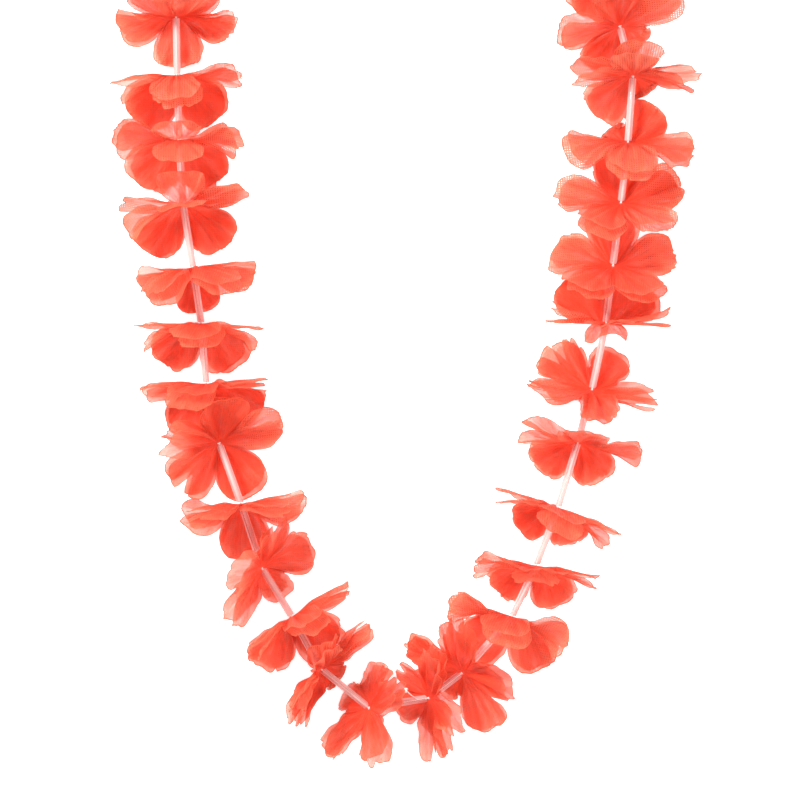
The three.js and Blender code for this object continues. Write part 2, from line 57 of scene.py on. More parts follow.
# ---- How the flowers lie; the same rows as the part's solids ----
# at: where the thread passes through, in millimetres, before LOOP_SHIFT.  faces: the way the front
# layer looks, in degrees from +X.  lean: how far the face is tipped up.  front and back: the
# layer's spin, then its five petals as a fold in degrees, or as (fold, curl, size, twist).
FLOWERS = [
    ((-112, 192), -90, 0,
     (-90, (0, 0, 0.92), (12, 0, 0.95, -20), -35, -40, (12, 0, 0.9, 20)),
     (-86, (0, 0, 0.9), (6, 0, 0.92, -20), -50, -55, (6, 0, 0.88, 20))),
    ((-111.5, 162), -87, 0,
     (86, 76, (36, 0, 1, 32), 0, 0, (8, 0, 1, -20)),
     (90, 58, (8, 0, 1, 5), 0, 0, (0, 0, 1, -15))),
    ((-110.5, 130), -90, 5,
     (88, 58, (10, 0, 1, 45), 0, 0, (14, 0, 1, -40)),
     (92, -15, (0, 0, 1, 30), 0, 0, (0, 0, 1, -25))),
    ((-108.5, 97.5), -80, 10,
     (86, 25, (38, 0, 1, 32), 0, 0, (4, 0, 1, -12)),
     (82, (-35, 40), -5, 0, 0, -5)),
    ((-103.5, 66), -81, 0,
     (-90, (0, 0, 0.78), 18, 55, 60, (10, 0, 0.88, 15)),
     (-86, (0, 0, 0.75), 8, 42, 38, (2, 50, 0.9))),
    ((-99.5, 38), -90, 0,
     (86, 52, (36, 0, 1, 32), (0, 0, 0.95), (0, 0, 0.95), (36, 0, 1, -32)),
     (90, 36, (4, 0, 1, 5), (0, 0, 0.93), (0, 0, 0.93), (4, 0, 1, -5))),
    ((-97, 8), -90, 0,
     (106, 38, (22, 0, 1, 18), 0, 0, -5),
     (102, 18, (5, 0, 1, 4), 0, 0, -10)),
    ((-90.5, -21.5), -70, 34,
     (68, -10, 20, 0, 0, (0, 40)),
     (64, -14, (0, 50), 0, 0, (-5, 40))),
    ((-79.5, -52), -84, 0,
     (-88, 0, (16, 0, 1, -20), 15, 20, (18, 0, 0.92, 12)),
     (-92, (0, 0, 0.95), (4, 0, 1, -10), 5, 8, (6, 60, 0.9))),
    ((-69, -84), -32, 25,
     (35, (8, 0, 0.92), 35, (20, 40), (0, 70, 0.5), (0, 0, 0.8)),
     (31, (0, 0, 0.92), 15, 5, (0, 80, 0.4), (0, 0, 0.75))),
    ((-54, -108.5), -58, 0,
     (70, 38, (22, 0, 1, 18), 0, 0, 10),
     (74, 20, (5, 0, 1, 5), 0, 0, 0)),
    ((-39.5, -134.5), -45, 15,
     (66, (0, 50), 45, (5, 40), (0, 0, 0.2), (10, 50)),
     (62, (-5, 50), 25, 0, (0, 0, 0.2), (0, 70))),
    ((-15.5, -154), 150, 38,
     (-14, (0, 50), 5, 45, (0, 0, 0.6), (0, 0, 0.3)),
     (-18, 0, -5, 30, (0, 0, 0.5), (0, 0, 0.2))),
    ((14.5, -149), 195, 30,
     (-10, (0, 50), 20, 15, (60, 0, 0.6), (0, 0, 0.5)),
     (-6, (0, 80), 5, 0, (45, 0, 0.55), (0, 60, 0.4))),
    ((31, -136.5), 222, 35,
     (-12, 0, 10, -5, 0, (0, 0, 0.3)),
     (-16, 0, 0, -15, 0, (0, 0, 0.2))),
    ((56, -108.5), -108, 5,
     (96, 60, (20, 0, 1, 60), 0, 0, (20, 0, 1, -65)),
     (100, 40, (8, 0, 1, 45), 0, 0, (2, 0, 1, -45))),
    ((68, -83), -100, 0,
     (90, 25, (22, 0, 1, 40), (5, 0, 0.75), (5, 0, 0.8), (12, 0, 1, -15)),
     (86, 5, (8, 0, 1, 25), (0, 0, 0.72), (0, 0, 0.76), 0)),
    ((79, -54), -107, 0,
     (83, 40, (15, 0, 1, 12), (0, 0, 0.72), (0, 0, 0.65), (38, 0, 1, -40)),
     (87, 15, 0, (0, 0, 0.68), (0, 0, 0.6), (10, 0, 1, -15))),
    ((89, -21), -98, 5,
     (88, -16, (0, 0, 1, 20), (0, 0, 0.8), (0, 0, 0.78), (2, 0, 1, -30)),
     (84, (-19, 0, 0.8), (-30, 50, 0.9), (0, 0, 0.75), (0, 0, 0.72), (-3, 0, 1, -25))),
    ((96, 5), 82, 26,
     (-39, 0, 14, 0, (0, 30), (0, 0, 0.7)),
     (-43, 0, 9, -5, -5, (0, 0, 0.6))),
    ((103, 38), 88, 0,
     (90, -10, (20, 0, 1, 15), 0, 0, (36, 0, 1, -35)),
     (86, (-25, 60), 0, 0, 0, (5, 0, 1, -5))),
    ((106.5, 67), 85, 32,
     (-90, 0, (5, 0, 1, -10), 0, 0, (5, 0, 1, 10)),
     (-86, 0, (0, 0, 1, -10), -12, -12, (0, 0, 1, 10))),
    ((110.5, 98.5), 86, 30,
     (-84, 0, 5, 0, 0, 5),
     (-80, 0, 0, -12, -12, 0)),
    ((114, 128.5), 88, 12,
     (95, -38, (-8, 0, 1, 40), (0, 0, 0.75), (0, 0, 0.15), (-12, 0, 1, -45)),
     (91, -52, (-15, 0, 1, 40), (0, 0, 0.75), (0, 0, 0.15), (-20, 0, 1, -45))),
    ((116.5, 162), -92, 20,
     (90, 10, 25, (0, 0, 0.8), (0, 0, 0.15), 40),
     (86, -10, 0, (0, 0, 0.8), (0, 0, 0.15), 10)),
    ((110, 187), -78, 28,
     (90, -10, (10, 50), (0, 0, 0.8), (0, 0, 0.3), 0),
     (94, -20, 0, (0, 0, 0.8), (0, 0, 0.3), -10)),
]
# The flowers of the arc that closes the loop repeat these: lean, front and back.
ARC_POSES = [
    (10, (90, 40, (15, 0, 1, 30), 0, 0, 10), (86, 10, (0, 0, 1, 30), 0, 0, 0)),
    (0, (-90, 0, 15, 45, 35, 20), (-94, 0, 5, 20, 15, 5)),
    (15, (84, 20, 5, 0, 0, (15, 0, 1, -30)), (88, -10, 0, 0, 0, (0, 0, 1, -30))),
    (10, (-84, 0, 10, -5, 20, 5), (-80, 0, 0, -15, 0, 0)),
]
ARC_FLOWERS = 10
ARC_CENTRE = (-1, 191)  # of the half ellipse that they stand on, in millimetres
ARC_HALF_WIDTH = 112
ARC_HEIGHT = 104
LOOP_SHIFT = Vector((-2.6, -72, 0))  # brings the middle of the loop to the origin

# ---- Sizes in millimetres that the solids share ----
PETALS = 5
PETAL_REACH = 34.5  # from the thread to the tip
PETAL_HALF_WIDTH = 12.6
VALLEY_RADIUS = 11  # from the thread to where two petals part
SOLID_CLOTH = 0.6  # thickness of a layer in the solids
LAYER_GAP = 0.35  # between the two layers of a flower in the solids
LAYER_OFFSET = (SOLID_CLOTH + LAYER_GAP) / 2
REST_HEIGHT = LAYER_OFFSET + SOLID_CLOTH / 2  # of the flower's middle, where it lies on the floor
LAYER_SPREAD = 1.5  # how much further apart the layers are at the tips
CURL_FROM = 4  # a curled petal starts to curl at this reach
CURL_FULL = 20  # and is fully curled here
TWIST_FROM = 9  # a twisted petal starts to turn about its own length at this reach
STRAND_HEIGHT = 9.5  # of the thread above the floor
THREAD_RADIUS = 0.4
STRAW_OUTER_RADIUS = 1.8
STRAW_INNER_RADIUS = 1.45
STRAW_SINK = 0.15  # how deep the thread sits in the wall of a straw that hangs on it
STRAW_DROP = STRAW_INNER_RADIUS - THREAD_RADIUS + STRAW_SINK
STRAW_END_CLEARANCE = 0.35  # between a straw's end and the solid cloth

# ---- Sizes in millimetres that are finer than the solids ----
LOWEST = (0.62, 0.12)  # height over the floor that the front and the back layer come down to
FLOOR_EASE = 0.12  # height over which the cloth eases on to the floor
RIDGE_HEIGHT = 0.45  # of the sharp creases
RIPPLE_HEIGHT = 0.35  # of the small irregular waves
PLEAT_RISE = 2.5  # a crease grows by this times the share pleated away
FORK_DEPTH = 12
FORK_HALF_WIDTH = 3.6
STRAW_END_LEAST = 0.5  # a straw's end comes no nearer to a hub
STRAW_RIM_BEVEL = 0.06
WEAVE_PITCH = 1.2  # between threads, about twice the real cloth's, which is too fine to show

# ---- The knot ----
KNOT_BESIDE = 13  # the flower that the thread is tied beside, counted from 0
# Places in millimetres from that flower's hub.
KNOT_AT = Vector((-11.7, 4.3, 3))
TIED_END = [(-2.3, -0.2, 0.1), (-4, -0.4, 1.6), (-6, -0.3, 2.6), (-8.8, 1.7, 3.1), (-11.0, 3.7, 3.0)]
CUT_END = [(-12.2, 4.5, 3.1), (-12.9, 5.2, 3.3), (-13.8, 5.3, 3.2)]
END_RADIUS = 0.25
KNOT_STRAND_RADIUS = 0.36
KNOT_SPREAD = 0.36  # a third of how far the turns of the knot reach from its middle
KNOT_DEPTH = 0.45
KNOT_POINTS = 60

# ---- The flat cut of one layer ----
COLUMNS = 56  # across one petal
ROWS = 18  # from the thread hole to the rim
# The shares of the way out at which the rows lie.  The last two are the heat-sealed rim.
RISE = np.append(np.linspace(0, 0.978, ROWS - 1), [0.984, 1.0])
HOLE_RADIUS = 0.9
OUTLINE = np.array([  # half a petal from its tip to the valley, as reach and side
    (34.4, 0.0), (34.3, 4.2), (33.2, 7.9), (30.8, 10.6), (26.8, 12.4),
    (21.5, 12.7), (16.4, 11.2), (12.2, 9.0), (8.9, 6.5),
])
OUTLINE_STEPS = 12  # of the smooth curve between two of those points
RIDGE_WIDTH = 0.055  # of a sharp crease, as a share of half the petal's width
# How far each petal of a flower is stretched thin, in tenths, in the order of its petals.  Thin cloth
# lets more light through and looks paler, and over ten tenths it is nearly bare threads.  The tenths
# are also a painted highlight: petals that catch the light strongly are given more, so their colour
# is painted paler.
STRETCH_AND_PAINTED_HIGHLIGHT = [
    (5, 1, 3, 3, 2), (9, 3, 0, 0, 3), (6, 3, 0, 1, 9), (4, 7, 0, 0, 9), (0, 5, 5, 4, 3),
    (4, 3, 0, 1, 4), (3, 2, 0, 0, 3), (2, 2, 2, 1, 5), (1, 3, 3, 2, 2), (3, 3, 1, 1, 3),
    (4, 3, 1, 1, 2), (4, 3, 1, 1, 3), (2, 3, 4, 2, 0), (2, 3, 3, 3, 2), (2, 0, 1, 0, 0),
    (6, 7, 2, 3, 5), (1, 3, 0, 1, 2), (5, 4, 0, 1, 2), (3, 2, 1, 1, 3), (1, 6, 4, 2, 1),
    (3, 2, 0, 0, 9), (1, 8, 5, 5, 6), (0, 8, 7, 7, 7), (9, 3, 0, 1, 7), (12, 7, 2, 0, 1),
    (2, 3, 1, 11, 14),
]
STRETCH_AND_PAINTED_HIGHLIGHT_ARC = (5, 3, 1, 0, 6)
# Petals pleated narrow along their length, by flower and petal counted from 0, as the share of
# their width that the pleats take up.
PLEATED = {
    (7, 1): 0.15, (9, 0): 0.2, (9, 1): 0.1, (9, 2): 0.25, (10, 0): 0.15, (10, 1): 0.2,
    (11, 0): 0.2, (11, 1): 0.4, (11, 2): 0.5, (11, 4): 0.35, (12, 0): 0.35, (12, 1): 0.2,
    (12, 2): 0.4, (12, 3): 0.3, (13, 0): 0.3, (13, 1): 0.3, (13, 2): 0.25, (13, 3): 0.35,
    (14, 2): 0.2, (14, 3): 0.3, (18, 1): 0.15, (19, 2): 0.25, (19, 3): 0.2, (20, 4): 0.3,
    (24, 4): 0.15,
}
# Petals with one deep cut in the rim, by flower and petal.
FORKED = {
    (7, 2), (9, 0), (11, 2), (11, 4), (13, 0), (13, 3), (19, 0), (19, 3), (20, 4), (24, 4),
}
# The pressed pleats are a noise on a fan of coordinates: round the flower in cells to half a petal,
# outwards in cells to a millimetre, and a step for each flower and layer so that no two are alike.
PLEATS_ROUND = 3.2
PLEATS_OUTWARDS = 0.045
PLEATS_FLOWER_STEP = 7.3
PLEATS_LAYER_STEP = 2.1
# The die lines are also painted highlight lines, pale milky bands that stand in for reflections of
# the lights.
DIE_AND_HIGHLIGHT_LINES_STEP = 3.7  # gives each straw die lines of its own

# ---- The stage, in metres ----
FLOOR_SIZE = 6
CAMERA_HEIGHT = 1.5  # above the thread
PICTURE_WIDTH = 0.4  # of what the camera takes in at that distance
LIGHTS_AIM = Vector((0, -0.05, 0))


def linear(hex_code):
    """Turns an sRGB hex colour into the linear RGBA that shaders take."""
    channels = [int(hex_code[i:i + 2], 16) / 255 for i in (0, 2, 4)]
    return (*(c / 12.92 if c <= 0.04045 else ((c + 0.055) / 1.055) ** 2.4 for c in channels), 1.0)


# ---- Settings in the sidebar ----
class LeiSizes(bpy.types.PropertyGroup):
    """Sizes of the pieces that are finer than the solids."""

    cloth_thickness: bpy.props.FloatProperty(
        name="Cloth thickness", description="Thickness of one layer of petal cloth",
        default=0.16 * MM, min=0.05 * MM, max=0.6 * MM, precision=5, unit="LENGTH")
    crease_height: bpy.props.FloatProperty(
        name="Crease height", description="Height of the creases pressed into a petal",
        default=1.6 * MM, min=0.0, max=3 * MM, precision=5, unit="LENGTH")
    flutter: bpy.props.FloatProperty(
        name="Edge flutter", description="How far a petal's rim waves up and down",
        default=0.9 * MM, min=0.0, max=3 * MM, precision=5, unit="LENGTH")
    straw_wall: bpy.props.FloatProperty(
        name="Straw wall", description="Thickness of a straw's wall",
        default=(STRAW_OUTER_RADIUS - STRAW_INNER_RADIUS) * MM, min=0.1 * MM, max=0.5 * MM,
        precision=5, unit="LENGTH")


class LeiColours(bpy.types.PropertyGroup):
    """Colours of the cloth, the straws, the thread and the floor."""

    cloth: bpy.props.FloatVectorProperty(
        name="Cloth", description="Colour that the petal cloth sends back where it is dense",
        default=linear("f45335"), size=4, min=0, max=1, subtype="COLOR")
    # This paler colour is also painted on as highlight, on petals and creases that catch the light.
    cloth_thin_and_highlight: bpy.props.FloatVectorProperty(
        name="Thin cloth", description="Colour that it sends back where it is stretched thin",
        default=linear("fb9174"), size=4, min=0, max=1, subtype="COLOR")
    cloth_lit_through: bpy.props.FloatVectorProperty(
        name="Cloth lit through", description="Colour of the light that comes through the cloth",
        default=linear("fca585"), size=4, min=0, max=1, subtype="COLOR")
    straw: bpy.props.FloatVectorProperty(
        name="Straw", description="Tint of the clear plastic straws",
        default=linear("ffebe8"), size=4, min=0, max=1, subtype="COLOR")
    thread: bpy.props.FloatVectorProperty(
        name="Thread", description="Colour of the thread",
        default=linear("f6f1ec"), size=4, min=0, max=1, subtype="COLOR")
    floor: bpy.props.FloatVectorProperty(
        name="Floor", description="Colour of the plain floor",
        default=linear("f6f6f6"), size=4, min=0, max=1, subtype="COLOR")


# ---- Shapes ----
def smoothstep(values, low, high):
    """Rises smoothly from 0 at low to 1 at high."""
    share = np.clip((values - low) / (high - low), 0, 1)
    return share * share * (3 - 2 * share)


def all_flowers():
    """The rows above, then those of the half ellipse that closes the loop."""
    rows = list(FLOWERS)
    for index in range(ARC_FLOWERS):
        turn = math.pi * (index + 1) / (ARC_FLOWERS + 1)
        heading = math.degrees(math.atan2(
            ARC_HEIGHT * math.cos(turn), -ARC_HALF_WIDTH * math.sin(turn)))
        lean, front, back = ARC_POSES[(index + 2) % len(ARC_POSES)]
        at = (ARC_CENTRE[0] + ARC_HALF_WIDTH * math.cos(turn),
              ARC_CENTRE[1] + ARC_HEIGHT * math.sin(turn))
        faces = heading + 180 if index < ARC_FLOWERS / 2 else heading
        rows.append((at, faces, lean, front, back))
    return rows


ROWS_OF_FLOWERS = all_flowers()
HUBS = [Vector((*row[0], STRAND_HEIGHT)) + LOOP_SHIFT for row in ROWS_OF_FLOWERS]


def bend_radius(lean):
    """Radius of the roll that takes a flower's plane from its lean at the hub to the floor."""
    return (STRAND_HEIGHT - REST_HEIGHT) / (1 - math.sin(math.radians(lean)))


def settle(lean, lowest, across, up, forward):
    """Lays the flower's flat plane into the room: flat above the hub, rolled to the floor below."""
    tip = math.radians(lean)
    radius = bend_radius(lean)
    turned = np.minimum(tip - up / radius, math.pi / 2)
    past = -up - (turned - tip) * radius
    ahead_low = radius * (math.cos(tip) - np.cos(turned)) + past + forward * np.cos(turned)
    height_low = -radius * (np.sin(turned) - math.sin(tip)) + forward * np.sin(turned)
    floor = lowest - STRAND_HEIGHT
    height_low = floor + np.where(
        height_low > floor + FLOOR_EASE, height_low - floor,
        FLOOR_EASE * np.exp(np.minimum((height_low - floor - FLOOR_EASE) / FLOOR_EASE, 0)))
    ahead_high = forward * math.cos(tip) - up * math.sin(tip)
    height_high = forward * math.sin(tip) + up * math.cos(tip)
    high = up >= 0
    return np.stack([
        np.where(high, ahead_high, ahead_low), across, np.where(high, height_high, height_low),
    ], axis=-1)


def outline_at(length_share):
    """Points of half the outline at shares of its length from the tip, and that length.

    The outline is a smooth curve through its points, and the other half mirrors it at the tip.
    """
    points = np.vstack([OUTLINE[1] * (1, -1), OUTLINE, 2 * OUTLINE[-1] - OUTLINE[-2]])
    steps = np.linspace(0, 1, OUTLINE_STEPS, endpoint=False)[:, None]
    fine = []
    for i in range(1, len(points) - 2):
        a, b, c, d = points[i - 1:i + 3]
        fine.append(0.5 * (2 * b + (c - a) * steps + (2 * a - 5 * b + 4 * c - d) * steps ** 2
                           + (3 * b - a - 3 * c + d) * steps ** 3))
    fine = np.vstack([*fine, OUTLINE[-1:]])
    run = np.concatenate([[0], np.cumsum(np.linalg.norm(np.diff(fine, axis=0), axis=1))])
    at = length_share * run[-1]
    return np.stack([np.interp(at, run, fine[:, k]) for k in (0, 1)], axis=-1), run[-1]


def read_layer(flower, layer):
    """The five petals of a layer's row, uncurled, full size and untwisted where it says nothing."""
    petals = []
    for index, entry in enumerate(layer[1:]):
        given = entry if isinstance(entry, tuple) else (entry,)
        fold, curl, size, twist = given + (0, 0, 1, 0)[len(given):]
        petals.append({"heading": layer[0] + 360 / PETALS * index,
                       "fold": fold, "curl": curl, "size": size, "twist": twist,
                       "pleated": PLEATED.get((flower, index), 0)})
    return petals


def petal_habits(flower, index):
    """The creases, waves and sways that both layers of a flower share at one petal.

    Places and widths are shares of half the petal's width, the ups are shares of a full height,
    and sway, droop and cup are millimetres.  layers says of each layer how much further it
    reaches, as a share, and how many millimetres it leans to one side.
    """
    rng = np.random.default_rng(7000 + 53 * flower + index)  # a seed for each petal
    creases = rng.integers(4, 7)
    ridges = rng.integers(4, 8)
    return {
        "ridge_at": np.linspace(-0.75, 0.75, ridges) + rng.uniform(-0.1, 0.1, ridges),
        "ridge_up": rng.uniform(0.3, 1.0, ridges),
        "crease_at": np.linspace(-0.8, 0.8, creases) + rng.uniform(-0.09, 0.09, creases),
        "crease_wide": rng.uniform(0.08, 0.2, creases),
        "crease_up": rng.uniform(0.5, 1.3, creases) * rng.choice([-1, 1], creases, p=[0.35, 0.65]),
        "wave_turns": rng.uniform(1.2, 2.6),
        "wave_phase": rng.uniform(0, 2 * math.pi),
        "wave_up": rng.uniform(0.5, 1.4),
        "sway": rng.uniform(-2.2, 2.2),
        "layers": rng.uniform((-0.09, -1.6), (0.01, 1.6), (2, 2)),
        "twist": rng.uniform(-0.10, 0.10),
        "droop": rng.uniform(-1.8, 1.8),
        "ripple_phase": rng.uniform(0, 2 * math.pi, 3),
        "cup": rng.uniform(-1.5, 2.5),
    }


def rim_cut(flower, layer, index, along):
    """How far the rim of one petal is cut in, over the length along its outline.

    Thread ends, a few notches and a long wave make it ragged, more so on a pleated petal, and
    nothing is cut near the valleys.
    """
    rng = np.random.default_rng(90000 + 977 * flower + 101 * layer + index)  # a seed for each rim
    cut = rng.uniform(0.0, 0.35, along.shape)
    rough = rng.uniform(0.15, 1.0) ** 1.5 + 1.2 * PLEATED.get((flower, index), 0)
    for _ in range(rng.integers(2, 6)):
        at, deep, wide = rng.uniform(-20, 20), rng.uniform(0.6, 3.4), rng.uniform(0.9, 2.2)
        cut += rough * deep * np.maximum(0, 1 - np.abs(along - at) / wide) ** 1.2
    cut += 0.7 * rough * (1 + np.cos(
        2 * math.pi * along / rng.uniform(9, 15) + rng.uniform(0, 6)))
    if (flower, index) in FORKED:
        fork_at = rng.uniform(-4, 4)
        cut += FORK_DEPTH * np.maximum(0, 1 - np.abs(along - fork_at) / FORK_HALF_WIDTH) ** 0.8
    return cut * np.clip((30 - np.abs(along)) / 6, 0, 1)


def flat_petal(flower, layer, index):
    """A petal's grid in its flat cut, rows by columns: reach, side and share across.

    The share across is 0 along the petal's middle, and -1 and 1 at its two valleys.
    """
    share = np.linspace(-1, 1, COLUMNS + 1)
    run_share = np.abs(share) * (0.75 + 0.25 * np.abs(share))  # closer together at the tip
    outline, half_run = outline_at(run_share)
    outline[:, 1] *= np.sign(share)
    along = run_share * half_run * np.sign(share)
    size = np.linalg.norm(outline, axis=1)
    outline *= (1 - rim_cut(flower, layer, index, along) / size)[:, None]
    turn = np.radians(180 / PETALS * share)
    inner = HOLE_RADIUS * np.stack([np.cos(turn), np.sin(turn)], axis=-1)
    grid = inner[None] + (outline - inner)[None] * RISE[:, None, None]
    return grid[..., 0], grid[..., 1], np.broadcast_to(share, grid.shape[:2])


def ridges_at(habit, share):
    """The sharp creases of one petal, as a height from 0 to about 1."""
    return sum(up * np.exp(-((share - at) / RIDGE_WIDTH) ** 2)
               for at, up in zip(habit["ridge_at"], habit["ridge_up"]))


def petal_lift(petal, habit, reach, side, share, heights):
    """How far creases, cup, flutter, ripples and droop lift the cloth off the petal's own surface."""
    crease_height, flutter = heights
    crease_height = crease_height * (1 + PLEAT_RISE * petal["pleated"])
    out_share = np.clip(reach / PETAL_REACH, 0, 1.1)
    creases = sum(
        up * np.exp(-((share - at) / wide) ** 2)
        for at, wide, up in zip(habit["crease_at"], habit["crease_wide"], habit["crease_up"]))
    rim = np.clip(out_share, 0, 1) ** 3 * smoothstep(reach, VALLEY_RADIUS, PETAL_REACH)
    phases = habit["ripple_phase"]
    return (
        crease_height * creases * smoothstep(out_share, 0.08, 0.4) * (1.15 - 0.5 * out_share)
        + RIDGE_HEIGHT * ridges_at(habit, share) * smoothstep(out_share, 0.15, 0.5)
        + habit["cup"] * share ** 2 * smoothstep(out_share, 0.25, 0.9)
        + flutter * habit["wave_up"] * rim * np.sin(
            habit["wave_turns"] * math.pi * share + habit["wave_phase"])
        + RIPPLE_HEIGHT * smoothstep(out_share, 0.2, 0.8) * (
            np.sin(0.42 * reach + phases[0]) * np.sin(0.35 * side + phases[1])
            + 0.5 * np.sin(0.8 * side + 0.25 * reach + phases[2]))
        + habit["twist"] * side * out_share ** 2
        + habit["droop"] * out_share ** 3)


def petal_place(petal, habit, sign, reach, side, share, heights):
    """Across, up and forward of the hub for the points of one petal's grid.

    The flat cut is sized and pleated narrow, lifted into creases, then folded, curled across and
    twisted.  sign is 1 on the front layer and -1 on the back one.
    """
    longer, aside = habit["layers"][0 if sign > 0 else 1]
    reach = reach * np.where(
        reach > VALLEY_RADIUS, 1 + longer * smoothstep(reach, VALLEY_RADIUS, PETAL_REACH), 1)
    side = side + aside * smoothstep(reach, VALLEY_RADIUS, PETAL_REACH)
    grown = np.where(reach > VALLEY_RADIUS,
                     VALLEY_RADIUS + (reach - VALLEY_RADIUS) * petal["size"], reach)
    narrow = 1 - (1 - petal["size"]) / 2 * smoothstep(reach, VALLEY_RADIUS, VALLEY_RADIUS + 3)
    side = side * narrow * (
        1 - petal["pleated"] * smoothstep(reach, VALLEY_RADIUS, VALLEY_RADIUS + 8))
    out_share = np.clip(reach / PETAL_REACH, 0, 1.1)
    lift = petal_lift(petal, habit, reach, side, share, heights)
    side = side + habit["sway"] * out_share ** 2
    lift = lift + sign * (LAYER_OFFSET * 0.5 + LAYER_SPREAD * out_share * 0.5)

    # No fold or curl is taken as a very small one, because the radius of the roll divides by it.
    fold = math.radians(petal["fold"]) or 1e-4
    turn = fold * grown / PETAL_REACH
    out = PETAL_REACH / fold * np.sin(turn)
    forward = PETAL_REACH / fold * (1 - np.cos(turn))
    rate = math.radians(petal["curl"] or 1e-3) * smoothstep(reach, CURL_FROM, CURL_FULL)
    rate = np.maximum(rate, 1e-6) / PETAL_HALF_WIDTH
    curl = rate * side
    rolled_across = np.sin(curl) / rate - sign * lift * np.sin(curl)
    rolled_up = sign * (1 - np.cos(curl)) / rate + lift * np.cos(curl)
    twist = math.radians(petal["twist"]) * smoothstep(reach, TWIST_FROM, PETAL_REACH)
    across = rolled_across * np.cos(twist) - rolled_up * np.sin(twist)
    raised = rolled_across * np.sin(twist) + rolled_up * np.cos(twist)
    axial = out - raised * np.sin(turn)
    heading = math.radians(petal["heading"])
    return np.stack([
        axial * math.cos(heading) - across * math.sin(heading),
        axial * math.sin(heading) + across * math.cos(heading),
        forward + raised * np.cos(turn),
    ])


def thin_and_highlight_share(flower, layer):
    """How thin the cloth is stretched over a layer's grid, from 0 to 1.5, rings by columns.

    It is thinner towards the rim, along the sharp creases and in a narrow band at the edge.  The
    material paints thin cloth paler, so the band along the sharp creases is also a painted highlight
    where they catch the light, and so are the extra tenths of petals that catch it.
    """
    tenths = STRETCH_AND_PAINTED_HIGHLIGHT[flower] if flower < len(STRETCH_AND_PAINTED_HIGHLIGHT) else STRETCH_AND_PAINTED_HIGHLIGHT_ARC
    shares = []
    for index in range(PETALS):
        reach, side, share = flat_petal(flower, layer, index)
        near = np.where(share < 0, tenths[index - 1], tenths[(index + 1) % PETALS])
        blend = 0.5 * smoothstep(np.abs(share), 0.6, 1.0)
        own = (tenths[index] * (1 - blend) + near * blend) / 10
        out_share = np.hypot(reach, side) / PETAL_REACH
        to_rim = np.hypot(reach[-1:] - reach, side[-1:] - side)
        ridges = ridges_at(petal_habits(flower, index), share)
        # The paler colour follows this share, so the term along the ridges is painted highlight as
        # well as thinning.
        thin = (own * smoothstep(out_share, 0.15, 0.6)
                + (0.1 + 0.55 * own) * (1 - smoothstep(to_rim, 0, 4))
                + (0.2 + 0.75 * own) * ridges * smoothstep(out_share, 0.2, 0.45))
        shares.append(np.clip(thin, 0, 1.5)[:, :COLUMNS])
    return np.concatenate(shares, axis=1)


def layer_places(flower, layer, heights):
    """World places and flat-cut places of a layer's grid, rings by columns all round.

    Inside the valleys, where petals join, each passes into its neighbour.
    """
    _, faces, lean, front, back = ROWS_OF_FLOWERS[flower]
    sign = 1 if layer == 0 else -1
    petals = read_layer(flower, front if layer == 0 else back)
    habits = [petal_habits(flower, index) for index in range(PETALS)]
    step = math.radians(360 / PETALS)
    rings, flats = [], []
    for index in range(PETALS):
        reach, side, share = flat_petal(flower, layer, index)
        own = petal_place(petals[index], habits[index], sign, reach, side, share, heights)
        for way in (-1, 1):
            other = (index + way) % PETALS
            turned_reach = reach * math.cos(way * step) + side * math.sin(way * step)
            turned_side = -reach * math.sin(way * step) + side * math.cos(way * step)
            near = petal_place(petals[other], habits[other], sign, turned_reach, turned_side,
                               share - 2 * way, heights)
            weight = 0.5 * smoothstep(way * share, 0.62, 1.0)
            weight = weight * (
                1 - smoothstep(np.hypot(reach, side), VALLEY_RADIUS, VALLEY_RADIUS + 4))
            own = own * (1 - weight) + near * weight
        rings.append(own[:, :, :COLUMNS])
        turn = step * index
        flats.append(np.stack([reach * math.cos(turn) - side * math.sin(turn),
                               reach * math.sin(turn) + side * math.cos(turn)])[:, :, :COLUMNS])
    across, up, forward = np.concatenate(rings, axis=2)
    local = settle(lean, LOWEST[layer], across, up, forward)
    turn = math.radians(faces)
    ahead, sideways = local[..., 0].copy(), local[..., 1].copy()
    local[..., 0] = ahead * math.cos(turn) - sideways * math.sin(turn)
    local[..., 1] = ahead * math.sin(turn) + sideways * math.cos(turn)
    flat = np.moveaxis(np.concatenate(flats, axis=2), 0, -1)
    return (local + np.array(HUBS[flower])) * MM, flat


# ---- Tools ----
def make_active(piece):
    """Selects one piece alone, for the operators that act on what is selected."""
    bpy.ops.object.select_all(action="DESELECT")
    piece.select_set(True)
    bpy.context.view_layer.objects.active = piece


def copy_piece(source, name):
    """A copy with its own mesh, linked to the scene."""
    piece = source.copy()
    piece.data = source.data.copy()
    piece.name = piece.data.name = name
    bpy.context.collection.objects.link(piece)
    return piece


def apply_modifiers(piece):
    """Applies all modifiers in their order, and leaves the piece selected alone."""
    make_active(piece)
    for modifier in list(piece.modifiers):
        bpy.ops.object.modifier_apply(modifier=modifier.name)


def mark_points(piece, name, values):
    """Gives each vertex a number or a vector, which the piece's material reads by its name."""
    kind, field = ("FLOAT", "value") if values.ndim == 1 else ("FLOAT_VECTOR", "vector")
    attribute = piece.data.attributes.new(name, kind, "POINT")
    attribute.data.foreach_set(field, values.ravel())


def add_node(tree, kind, settings=None, inputs=None):
    """Adds a shader node, sets its settings, and links or fills its inputs by name or number.

    A node given as an input stands for its first output.  On a colour Mix node the factor is input
    0, the colours are 6 and 7, and the result is output 2.
    """
    node = tree.nodes.new("ShaderNode" + kind)
    for key, value in (settings or {}).items():
        setattr(node, key, value)
    for key, value in (inputs or {}).items():
        if isinstance(value, bpy.types.Node):
            tree.links.new(value.outputs[0], node.inputs[key])
        elif isinstance(value, bpy.types.NodeSocket):
            tree.links.new(value, node.inputs[key])
        else:
            node.inputs[key].default_value = value
    return node


def new_material(name):
    """A material with no nodes yet, and its node tree."""
    material = bpy.data.materials.new(name)
    material.use_nodes = True
    material.node_tree.nodes.clear()
    return material, material.node_tree


